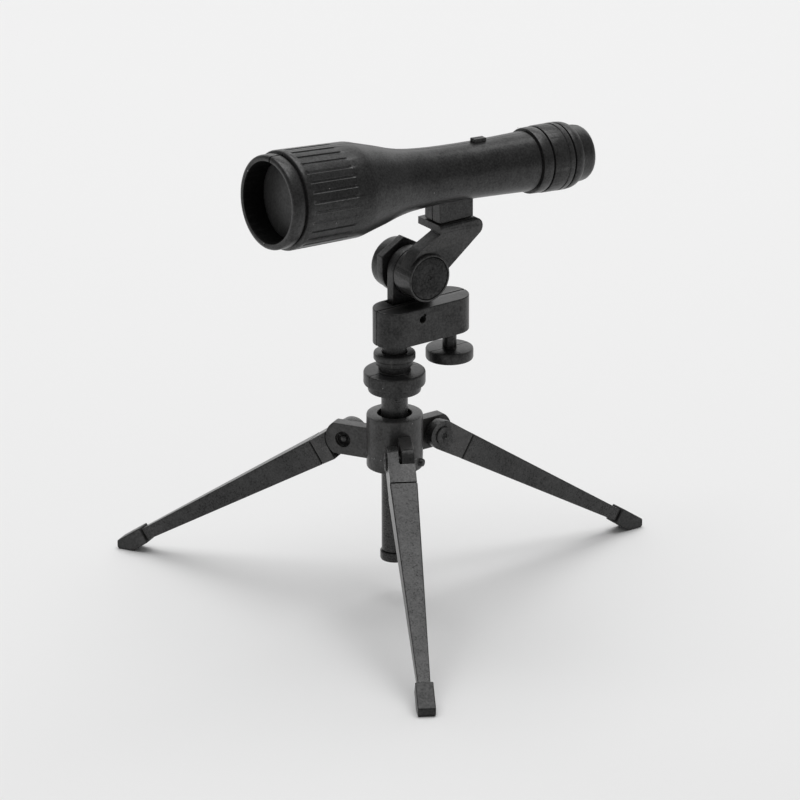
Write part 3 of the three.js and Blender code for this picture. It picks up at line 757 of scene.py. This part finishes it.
def make_block():
    bottom = low("block_left_half").z
    top = high("block_left_half").z
    half_width = 3.49
    far_end = high("block_left_half").y - COLUMN.y - half_width
    lug_radius = 3.87
    tilt_y = TILT.y - COLUMN.y
    trapped = [(0, SWIVEL_RADIUS, COLLAR_RADIUS),
               (KNOB.y - COLUMN.y, KNOB_SHAFT_RADIUS, KNOB_COLLAR_RADIUS)]
    collar_low, collar_high = bottom + 1.45, bottom + 2.45
    shaft_top = bottom + 3.15
    for side, name in ((1, "left"), (-1, "right")):
        flank = 0 if side > 0 else 180
        outline = [(SEAM * side, -half_width),
                   *arc(0, 0, half_width, 270, 270 + 90 * side, 24)[1:],
                   *arc(0, far_end, half_width, flank, 90, 24)[:-1],
                   (SEAM * side, far_end + half_width)]
        body = softened(prism(f"block_{name}_shell", outline, bottom, top), 0.22, 4)
        hollows = []
        for y, radius, collar in trapped:
            bore, recess = radius + 0.1, collar + 0.1
            hollow = turned("hollow", [
                (0, bottom - 1), (bore, bottom - 1), (bore, collar_low), (recess, collar_low),
                (recess, collar_high), (bore, collar_high), (bore, shaft_top), (0, shaft_top)],
                PIN_SIDES)
            hollows.append(moved(hollow, shift(0, y, 0)))
        pin = middle("block_pin")
        reach = 6 if side > 0 else 2.6
        hole = moved(rod("hole", 0.62, -2.6, reach, 32), turn("Y", 90))
        torn_edge = rod("hole", 0.28, 2.9, reach, 16)
        moved(torn_edge, shift(0, 0.42, 0.62) @ turn("Y", 90))
        for cutter in (hole, torn_edge):
            hollows.append(moved(cutter, shift(0, pin.y - COLUMN.y, pin.z)))
        cut(body, *hollows)
        if side < 0:
            front, back = tilt_y - lug_radius, tilt_y + lug_radius
            lug = prism("lug", [(back, top - 1), *arc(tilt_y, TILT.z, lug_radius, 0, 180, 48),
                                (front, top - 1)], -2.93, -1.2, "X")
            softened(lug, 0.12, 3)
            cut(body, block("sink", (-3.0, front - 0.5, top - 0.35), (-0.5, front, top + 1)),
                block("sink", (-1.3, front - 0.5, top - 0.3), (-0.7, back, top + 1)))
            bore = moved(rod("bore", TILT_BORE, -5, 0), turn("Y", 90))
            joined(body, cut(lug, moved(bore, shift(0, tilt_y, TILT.z))))
        finished(body, ON_COLUMN, "head", [f"block_{name}_half"], "body_black", BODY_PLASTIC)


def make_block_pin():
    """The end of this pin is rough, where it was cut."""
    draw = random.Random(7)
    radius = 0.55
    half = (high("block_pin").x - low("block_pin").x) / 2
    profile = [(0, -half), (radius, -half), (radius, half - 0.15), (radius * 0.75, half),
               (radius * 0.4, half), (0, half)]
    piece = turned("block_pin_cut", profile, 32)
    for vertex in piece.data.vertices:
        if vertex.co.z > half - 0.05:
            vertex.co.z += draw.uniform(-0.3, 0.02)
    moved(piece, turn("Y", 90))
    pin = middle("block_pin")
    finished(piece, shift(0, pin.y, pin.z), "head", ["block_pin"], "pin_black", PIN_PLASTIC)


def make_pan_knob():
    base = low("pan_knob").z
    top = high("pan_knob").z
    radius = 3.87
    face = base + 1.85
    collar_low, collar_high = base + 6.7, base + 7.5
    shaft, collar = KNOB_SHAFT_RADIUS, KNOB_COLLAR_RADIUS
    piece = turned("pan_knob_turned", [
        (0, base + 0.15), (1.0, base + 0.15), (1.2, base), (radius - 0.3, base),
        (radius - 0.08, base + 0.08), (radius, base + 0.3), (radius, face - 0.3),
        (radius - 0.08, face - 0.08), (radius - 0.3, face), (shaft + 0.12, face),
        (shaft, face + 0.12), (shaft, collar_low), (collar, collar_low),
        (collar, collar_high), (shaft, collar_high), (shaft, top), (0, top)])
    grooved_rim(piece, radius, 1.3, base - 1, face)
    finished(piece, ON_KNOB, "pan_knob", ["pan_knob"], "knob_black", KNOB_PLASTIC)


# ---- tilt joint -------------------------------------------------------------

KNUCKLE_RADIUS = 3.95
KNUCKLE_RIGHT = -1.05
KNUCKLE_LEFT = 3.4
HEAD_RADIUS = 3.5
HEAD_DEPTH = 1.2
ARM_RIGHT = 0.1
ARM_LEFT = 2.8
DOWEL_RADIUS = 1.0


def make_bracket():
    """Drawn about the tilt axis: a disc-shaped knuckle, a leaning arm and a platform on top."""
    top = high("tilt_bracket").z - TILT.z
    front = low("shoe_dowel").y - TILT.y - 2.7
    back = high("tilt_bracket").y - TILT.y
    under = top - 1.2
    knuckle = moved(turned("bracket", [
        (0, KNUCKLE_RIGHT), (KNUCKLE_RADIUS - 0.12, KNUCKLE_RIGHT),
        (KNUCKLE_RADIUS, KNUCKLE_RIGHT + 0.12),
        (KNUCKLE_RADIUS, KNUCKLE_LEFT - 0.16),
        (KNUCKLE_RADIUS - 0.05, KNUCKLE_LEFT - 0.05), (KNUCKLE_RADIUS - 0.16, KNUCKLE_LEFT),
        (0, KNUCKLE_LEFT)]), turn("Y", 90))
    nose = 1.5
    arm = prism("arm", [
        (3.85, 0.45), *arc(0, 0, KNUCKLE_RADIUS, 166, 150, 4), (-2.75, 3.25), (-2.14, 3.98),
        (-1.55, 4.55), (-1.0, 4.9), (front + 0.02, under - 0.2), (front + 0.02, top - 0.5),
        *arc(back - nose, top - nose, nose, 80, -50, 16)], ARM_RIGHT, ARM_LEFT, "X")
    platform = prism("platform", [
        (-3.3, front), (ARM_LEFT, front), (ARM_LEFT, back - nose),
        *arc(-1.8, back - nose - 0.6, 1.5, 90, 180, 12)], under, top)
    shoulder = 0.55
    section = [(ARM_LEFT - shoulder, top + 1),
               *arc(ARM_LEFT - shoulder, top - shoulder, shoulder, 90, 0, 8),
               (ARM_LEFT + 1, top - shoulder), (ARM_LEFT + 1, top + 1)]
    rounding = moved(prism("rounding", section, -back - 1, -front + 1), turn("X", 90))
    softened(cut(joined(arm, platform), rounding), 0.12, 3)
    cut(arm, parting_groove(front - 1, front + 0.09, under - 0.1, top + 1, -0.35, 0.1))
    floor = KNUCKLE_LEFT - HEAD_DEPTH - 0.1
    recess = rod("recess", HEAD_RADIUS + 0.1, floor, KNUCKLE_LEFT + 1, SIDES)
    bore = rod("bore", TILT_BORE, -3, 5)
    for cutter in (recess, bore):
        moved(cutter, turn("Y", 90))
    dowel = middle("shoe_dowel")
    well = rod("well", DOWEL_RADIUS + 0.1, low("shoe_dowel").z - 0.1, dowel.z)
    moved(well, shift(0, dowel.y - TILT.y, -TILT.z))
    piece = cut(joined(knuckle, arm), recess, bore, well)
    piece.name = "tilt_bracket_moulding"
    finished(piece, ON_TILT, "telescope", ["tilt_bracket"], "body_black", BODY_PLASTIC)


def make_tilt_pin():
    """A broad smooth head with a dimple where it was ejected from the mould."""
    end = low("tilt_pin").x
    back = KNUCKLE_LEFT - HEAD_DEPTH
    radius = TILT_BORE - 0.1
    piece = turned("tilt_pin_turned", [
        (0, end), (radius - 0.15, end), (radius, end + 0.15), (radius, back),
        (HEAD_RADIUS, back), (HEAD_RADIUS, KNUCKLE_LEFT - 0.2),
        (HEAD_RADIUS - 0.06, KNUCKLE_LEFT - 0.07), (HEAD_RADIUS - 0.2, KNUCKLE_LEFT - 0.02),
        (2.0, KNUCKLE_LEFT - 0.06), (0.42, KNUCKLE_LEFT - 0.1), (0.34, KNUCKLE_LEFT - 0.2),
        (0, KNUCKLE_LEFT - 0.24)])
    moved(piece, turn("Y", 90))
    finished(piece, ON_TILT, "telescope", ["tilt_pin"], "pin_black", CAP_PLASTIC)


def make_tilt_nut():
    """A round cap on a flange with a pointed top, so that a finger can turn it."""
    outer = low("tilt_nut").x
    point, radius = 5.05, 4.37
    flange_outer, flange_inner = -5.05, -3.6
    outline = [(0, point), (-radius, point / 2), *arc(0, 0, radius, 180, 360, 48),
               (radius, point / 2)]
    flange = softened(prism("nut", outline, flange_outer, flange_inner, "X"), 0.16, 3, 20)
    neck = moved(rod("neck", 2.2, flange_inner - 0.5, -3.03), turn("Y", 90))
    cap_radius = 4.2
    cap = moved(turned("cap", [
        (0, outer), (cap_radius - 0.75, outer), (cap_radius - 0.3, outer + 0.1),
        (cap_radius - 0.05, outer + 0.4), (cap_radius, outer + 0.7),
        (cap_radius, flange_outer + 0.5), (0, flange_outer + 0.5)]), turn("Y", 90))
    bore = moved(rod("bore", TILT_BORE, low("tilt_pin").x - 0.1, 0), turn("Y", 90))
    piece = cut(joined(flange, neck, cap), bore)
    piece.name = "tilt_nut_moulding"
    finished(piece, ON_TILT, "tilt_nut", ["tilt_nut"], "knob_black", KNOB_PLASTIC)


def make_shoe_dowel():
    bottom = low("shoe_dowel").z
    top = high("shoe_dowel").z
    radius, edge = DOWEL_RADIUS, 0.15
    piece = turned("shoe_dowel_turned", [
        (0, bottom), (radius - edge, bottom), (radius, bottom + edge), (radius, top - edge),
        (radius - edge, top), (0, top)], PIN_SIDES)
    centre = middle("shoe_dowel")
    finished(piece, shift(0, centre.y, 0), "telescope", ["shoe_dowel"], "pin_black", PIN_PLASTIC)


# ---- telescope --------------------------------------------------------------

TUBE_LENGTH = 61.6
RING_END = 2.5                # the front ring ends here
RIM_GAP = 0.17                # half width of the open seam at the top of the front ring
BARREL_START = 2.9            # the wide barrel, behind the front ring
BARREL_RADIUS = 7.98
BARREL_TAPER = 0.3 / 12.6     # how fast it narrows
FLUTES = 30
FLUTE_START = 3.5
FLUTE_END = 12.3
FLUTE_DEPTH = 0.17
FLUTE_HALF = 2.1              # degrees, to the top of each wall
FLOOR_HALF = 0.45 * FLUTE_HALF

# outside of the tube, (distance from the rim, radius)
TUBE_OUTSIDE = [
    (0.0, 6.95), (0.05, 7.25), (0.2, 7.47), (0.45, 7.55), (1.95, 7.55), (2.08, 7.5), (2.15, 7.2),
    (2.48, 7.2), (2.54, 7.72), (2.64, 7.88), (BARREL_START, BARREL_RADIUS)]
TUBE_BARREL = [
    (15.4, 7.68), (15.8, 7.62), (16.3, 7.52), (17.0, 7.33), (17.8, 7.13), (18.5, 6.95),
    (19.6, 6.68), (20.8, 6.38), (22.0, 6.04), (23.2, 5.7), (24.5, 5.41), (25.7, 5.18),
    (26.8, 5.03), (27.9, 4.92), (29.0, 4.83), (30.1, 4.76), (32.0, 4.67), (34.0, 4.62),
    (37.0, 4.59), (40.0, 4.6), (45.0, 4.72), (50.1, 4.88)]
EYEPIECE_RINGS = [
    (50.2, 4.88), (50.26, 4.72), (50.48, 4.72), (50.54, 5.26), (50.7, 5.34), (52.2, 5.38),
    (52.36, 5.33), (52.42, 5.0), (52.62, 5.0), (52.68, 5.38), (52.84, 5.46), (55.35, 5.48),
    (55.45, 5.38), (55.6, 5.38), (55.7, 5.5), (56.4, 5.51), (56.55, 5.46), (56.62, 5.08),
    (56.86, 5.08), (56.92, 5.42), (57.1, 5.5), (57.9, 5.42), (58.4, 5.28), (58.75, 5.05),
    (58.85, 4.8), (59.1, 4.72), (60.6, 4.6), (61.1, 4.5), (61.45, 4.3), (TUBE_LENGTH, 4.05)]
TUBE_INSIDE = [
    (TUBE_LENGTH, 3.2), (61.4, 3.0), (61.1, 3.0), (61.1, 3.5), (59.7, 3.5), (59.7, 3.0),
    (34.0, 3.3), (27.7, 3.7), (20.6, 5.1), (15.5, 6.3), (5.1, 6.4), (5.1, 6.9), (3.8, 6.9),
    (3.8, 6.4), (0.35, 6.45), (0.08, 6.6)]


def fluted_stations():
    """The wide barrel behind the rim, with closer sections at the ends of the flutes."""
    ends = [0.0, 0.12, 0.3, 0.55]
    alongs = [FLUTE_START + end for end in ends] + [6.0, 8.2, 10.4]
    alongs += [FLUTE_END - end for end in reversed(ends)] + [14.2]
    return [(along, BARREL_RADIUS - BARREL_TAPER * (along - BARREL_START)) for along in alongs]


def flute_cut(along, degrees):
    """How far the surface sinks at this distance and angle."""
    pitch = 360 / FLUTES
    off = abs(degrees % pitch - pitch / 2)
    if off >= FLUTE_HALF or not FLUTE_START < along < FLUTE_END:
        return 0.0
    end = min(along - FLUTE_START, FLUTE_END - along)
    wall = (FLUTE_HALF - off) / (FLUTE_HALF - FLOOR_HALF)
    return FLUTE_DEPTH * min(1.0, end / 0.3) * min(1.0, wall)


def half_turn_angles():
    """Angles from the top round to the bottom, closer together at each flute."""
    pitch = 360 / FLUTES
    angles = []
    for number in range(FLUTES // 2):
        centre = pitch * (number + 0.5)
        steps = (-0.5 * pitch, -0.32 * pitch, -FLUTE_HALF, -FLOOR_HALF, 0, FLOOR_HALF,
                 FLUTE_HALF, 0.32 * pitch)
        angles += [centre + step for step in steps]
    return [0.0] + angles[1:] + [180.0]


def tube_half(name, side):
    """One moulded half: its outside, its inside and the flat faces at the parting plane."""
    stations = TUBE_OUTSIDE + fluted_stations() + TUBE_BARREL + EYEPIECE_RINGS + TUBE_INSIDE
    inner_start = len(stations) - len(TUBE_INSIDE)
    angles = half_turn_angles()
    vertices = []
    for number, (along, radius) in enumerate(stations):
        for degrees in angles:
            depth = flute_cut(along, degrees) if number < inner_start else 0.0
            angle = math.radians(degrees)
            sink = radius - depth
            at_rim = degrees < 1 and along < RING_END and radius > 6.4
            gap = RIM_GAP if at_rim else SEAM
            vertices.append((side * (gap + sink * math.sin(angle)), along, sink * math.cos(angle)))
    across = len(angles)
    count = len(stations)
    faces = []
    for ring in range(count):
        following = (ring + 1) % count
        for i in range(across - 1):
            here, there = ring * across + i, following * across + i
            faces.append((here, here + 1, there + 1, there))
    faces.append([ring * across for ring in range(count)])
    faces.append([ring * across + across - 1 for ring in range(count)])
    return new_object(name, vertices, faces)


def tube_place():
    """The telescope's own frame: the rim's centre at the origin and +Y towards the eyepiece."""
    front = middle("objective_disc")
    rise = turn("X", -TUBE_RISE)
    axis = (rise @ Vector((0, 1, 0))).normalized()
    seat = 4.45
    return shift(*(front - axis * seat)) @ rise


def is_inner(polygon):
    """True for a face of the tube's inside, which looks towards the axis."""
    outward = Vector((polygon.center.x, 0, polygon.center.z))
    return outward.length < 6.95 and outward.normalized().dot(polygon.normal) < -0.3


def is_painted_highlight_wall(polygon):
    """True for the lower wall of a flute at the side of the grip, which gets a painted highlight."""
    centre = polygon.center
    degrees = math.degrees(math.atan2(abs(centre.x), centre.z))
    below = degrees % (360 / FLUTES) - 180 / FLUTES
    return (FLUTE_START < centre.y < FLUTE_END and 40 < degrees < 115
            and FLOOR_HALF < below < FLUTE_HALF and centre.xz.length > 7)


def make_tube():
    place = tube_place()
    back = place.inverted()
    platform = high("tilt_bracket").z
    dowel = middle("shoe_dowel")
    half_width = 2.05
    shoe_length = 6.6
    for side, name in ((1, "left"), (-1, "right")):
        shell = tube_half(f"tube_{name}_shell", side)
        x0, x1 = sorted((side * SEAM, side * half_width))
        shoe = block("shoe", (x0, dowel.y - shoe_length / 2, platform + 0.1),
                     (x1, dowel.y + shoe_length / 2, platform + 4.8))
        softened(shoe, 0.12, 3)
        moved(shoe, back)
        x0, x1 = sorted((side * SEAM, side * 0.6))
        nub = softened(block("nub", (x0, 39.6, 4.2), (x1, 42.0, 5.22)), 0.1, 3)
        joined(shell, shoe, nub)
        well = rod("well", DOWEL_RADIUS + 0.1, low("shoe_dowel").z - 1, high("shoe_dowel").z + 0.1)
        cut(shell, moved(moved(well, shift(0, dowel.y, 0)), back))
        for polygon in shell.data.polygons:
            # Slot 2 paints shade on the inside of the tube.
            # Slot 3 paints a highlight on the lower flute walls.
            polygon.material_index = 2 if is_inner(polygon) else 3 if is_painted_highlight_wall(polygon) else 0
        # Pale flash bits on the tube: painted glints.
        if side < 0:
            with_glinting_flash(shell, [(-5.5, 0, 3.7, 0.15), (-0.22, 0, -6.7, 0.11), (-1.4, 2.3, -7.4, 0.08),
                               (-3.0, 51.0, 4.7, 0.07)])
        else:
            with_glinting_flash(shell, [(7.7, 8.0, -2.2, 0.08), (6.1, 3.1, -5.0, 0.09)])
        finished(shell, place, "telescope", [f"tube_{name}_half"], "tube_black",
                 TUBE_PLASTIC, GLINTING_FLASH_PLASTIC, SHADED_INSIDE_PLASTIC, FLUTE_HIGHLIGHT_PLASTIC)


def make_discs():
    place = tube_place()
    blank = turned("objective_blank", [
        (0, 3.4), (1.5, 3.42), (3.8, 3.6), (5.6, 3.83), (6.25, 3.9), (6.3, 4.0),
        (6.75, 4.0), (6.75, 4.95), (0, 4.95)])
    moved(blank, turn("X", -90))
    finished(blank, place, "telescope", ["objective_disc"], "lens_black", LENS_PLASTIC)
    rear = turned("eyepiece_blank", [
        (0, 59.8), (3.4, 59.8), (3.4, 60.95), (2.9, 61.0), (1.6, 60.88), (0, 60.8)])
    moved(rear, turn("X", -90))
    finished(rear, place, "telescope", ["eyepiece_disc"], "lens_black", LENS_PLASTIC)


make_hub()
make_column_peg()
make_column()
make_head_plate()
make_pan_ring()
for leg_name in LEGS:
    make_knuckle(leg_name)
    make_beam(leg_name)
    make_foot(leg_name)
    make_leg_pin(leg_name)
make_block()
make_block_pin()
make_pan_knob()
make_bracket()
make_tilt_pin()
make_tilt_nut()
make_shoe_dowel()
make_tube()
make_discs()


# ---- stage, light and camera ------------------------------------------------

def make_floor():
    size = 3.0
    mesh = bpy.data.meshes.new("floor")
    corners = [(-size, -size, 0), (size, -size, 0), (size, size, 0), (-size, size, 0)]
    mesh.from_pydata(corners, [], [(0, 1, 2, 3)])
    floor = bpy.data.objects.new("floor", mesh)
    bpy.context.scene.collection.objects.link(floor)
    paper = bpy.data.materials.new("pale paper")
    paper.use_nodes = True
    shader = paper.node_tree.nodes["Principled BSDF"]
    shader.inputs["Base Color"].default_value = (0.83, 0.83, 0.83, 1)
    shader.inputs["Roughness"].default_value = 0.9
    shader.inputs["Specular IOR Level"].default_value = 0.1
    mesh.materials.append(paper)


def soft_light(name, azimuth, elevation, distance, width, depth, power):
    """A rectangular soft light that faces the object."""
    data = bpy.data.lights.new(name, "AREA")
    data.shape = "RECTANGLE"
    data.size = width
    data.size_y = depth
    data.energy = power
    light = bpy.data.objects.new(name, data)
    bpy.context.scene.collection.objects.link(light)
    bearing, rise = math.radians(azimuth), math.radians(elevation)
    away = Vector((math.cos(bearing) * math.cos(rise), math.sin(bearing) * math.cos(rise),
                   math.sin(rise)))
    centre = Vector((0, 0, 0.04))
    light.location = centre + away * distance
    light.rotation_euler = away.to_track_quat("Z", "Y").to_euler()


def make_world():
    world = bpy.data.worlds.new("studio")
    world.use_nodes = True
    sky = world.node_tree.nodes["Background"]
    sky.inputs["Color"].default_value = (1, 1, 1, 1)
    sky.inputs["Strength"].default_value = 0.25
    bpy.context.scene.world = world


CAMERA_BEARING = 54.27        # degrees round from the front, towards the left
CAMERA_PITCH = 21.42
CAMERA_DISTANCE = 1092.64
CAMERA_LENS = 306.55
CAMERA_ROLL = 0.138
AIM_ACROSS = 0.87
AIM_HEIGHT = 33.634


def make_camera():
    data = bpy.data.cameras.new("camera")
    data.lens = CAMERA_LENS
    data.sensor_width = 36
    camera = bpy.data.objects.new("camera", data)
    bpy.context.scene.collection.objects.link(camera)
    bearing, pitch = math.radians(CAMERA_BEARING), math.radians(CAMERA_PITCH)
    across = Vector((math.cos(bearing), math.sin(bearing), 0))
    forward = Vector((-math.sin(bearing) * math.cos(pitch), math.cos(bearing) * math.cos(pitch),
                      -math.sin(pitch)))
    aim = Vector((COLUMN.x, COLUMN.y, AIM_HEIGHT)) + across * AIM_ACROSS
    above = across.cross(forward)
    roll = math.radians(CAMERA_ROLL)
    right = across * math.cos(roll) - above * math.sin(roll)
    top = across * math.sin(roll) + above * math.cos(roll)
    facing = Matrix((right, top, -forward)).transposed().to_4x4()
    camera.matrix_world = shift(*((aim - forward * CAMERA_DISTANCE) * MM)) @ facing
    bpy.context.scene.camera = camera


make_floor()
make_world()
BEHIND = CAMERA_BEARING + 90
soft_light("overhead softbox", BEHIND, 80, distance=1.15, width=1.2, depth=1.2, power=13)
soft_light("back wall", BEHIND, 22, distance=1.7, width=2.6, depth=1.1, power=8)
make_camera()
bpy.context.scene.view_settings.view_transform = "Standard"
